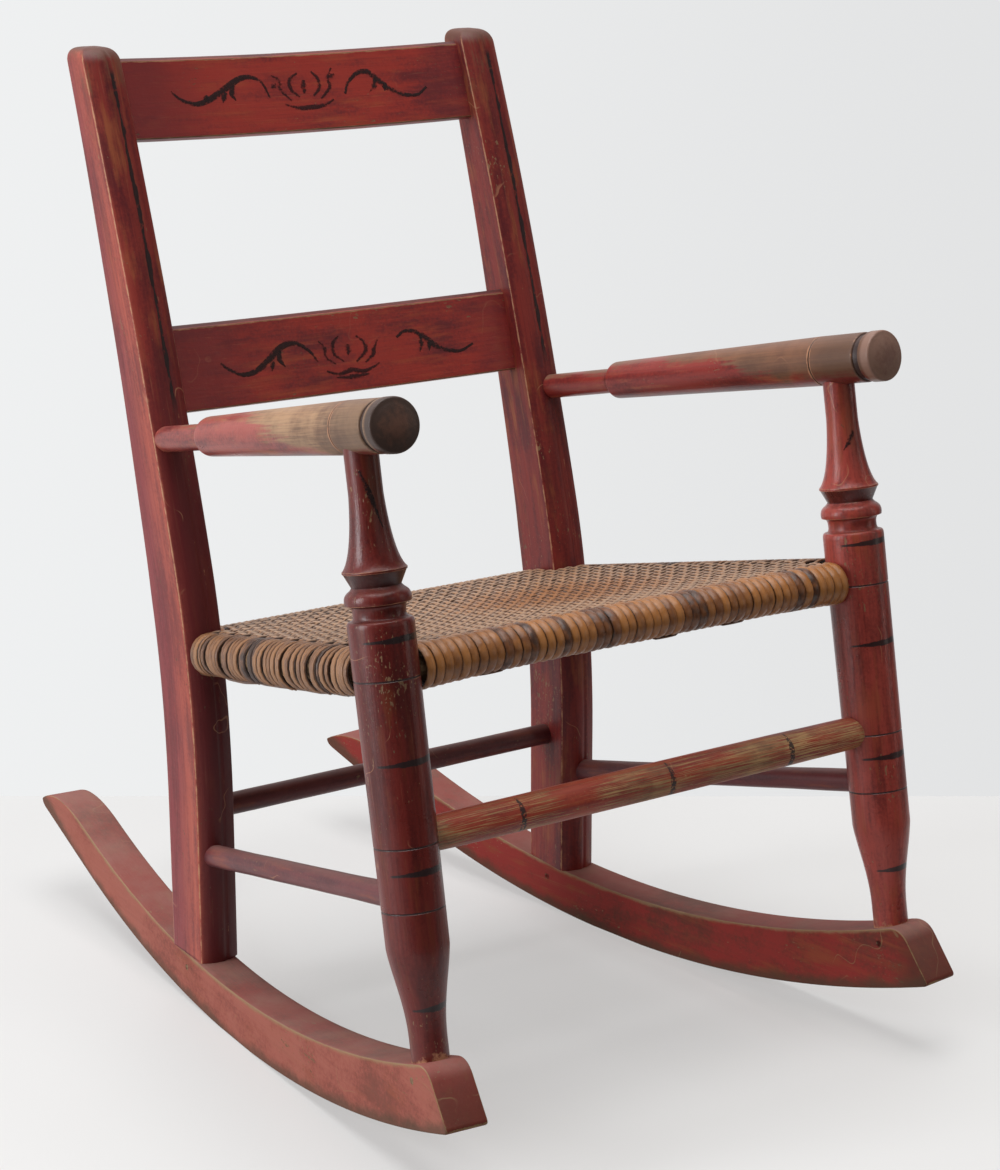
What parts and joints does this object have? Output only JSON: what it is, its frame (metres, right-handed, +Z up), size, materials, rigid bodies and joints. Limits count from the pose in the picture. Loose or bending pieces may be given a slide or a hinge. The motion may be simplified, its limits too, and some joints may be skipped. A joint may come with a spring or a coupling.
{
  "type": "child's rocking chair",
  "caption": "Child's slat-back rocking chair with turned arms and front posts, bowed slats, plain stretchers and a woven seat on splayed rockers.",
  "frame": {"origin": "on the floor, at the middle of the chair's length and width, as it rests on its rockers unloaded", "axes": "+Z up, -Y the way the sitter faces, +X the sitter's left; X and Z are the chair's width and height, and X = 0 is its mirror plane"},
  "size_m": [0.3932, 0.6044, 0.6138],
  "materials": {
    "painted_wood": "old oxide-red paint, satin, rubbed pale along the edges, with thin black brush bands",
    "dark_painted_wood": "the same paint gone dark maroon",
    "worn_wood": "red paint rubbed through to grey-tan wood, satin",
    "bare_wood": "bare aged wood, matt",
    "woven_fibre": "shellacked woven fibre cord, amber-brown, worn grey on the sides"
  },
  "bodies": {
    "root": {"rocker_right": "painted_wood", "rocker_left": "painted_wood", "back_post_right": "painted_wood", "back_post_left": "painted_wood", "front_post_right": "painted_wood", "front_post_left": "painted_wood", "slat_upper": "painted_wood", "slat_lower": "painted_wood", "side_stretcher_right": "dark_painted_wood", "side_stretcher_left": "dark_painted_wood", "back_stretcher": "dark_painted_wood", "arm_right": "worn_wood", "arm_left": "worn_wood", "front_stretcher": "worn_wood", "seat_rail_right": "bare_wood", "seat_rail_left": "bare_wood", "seat_rail_front": "bare_wood", "seat_rail_back": "bare_wood", "slat_peg_right": "bare_wood", "slat_peg_left": "bare_wood", "foot_peg_front_right": "bare_wood", "foot_peg_front_left": "bare_wood", "foot_peg_back_right": "bare_wood", "foot_peg_back_left": "bare_wood", "woven_seat": "woven_fibre"}
  },
  "joints": []
}
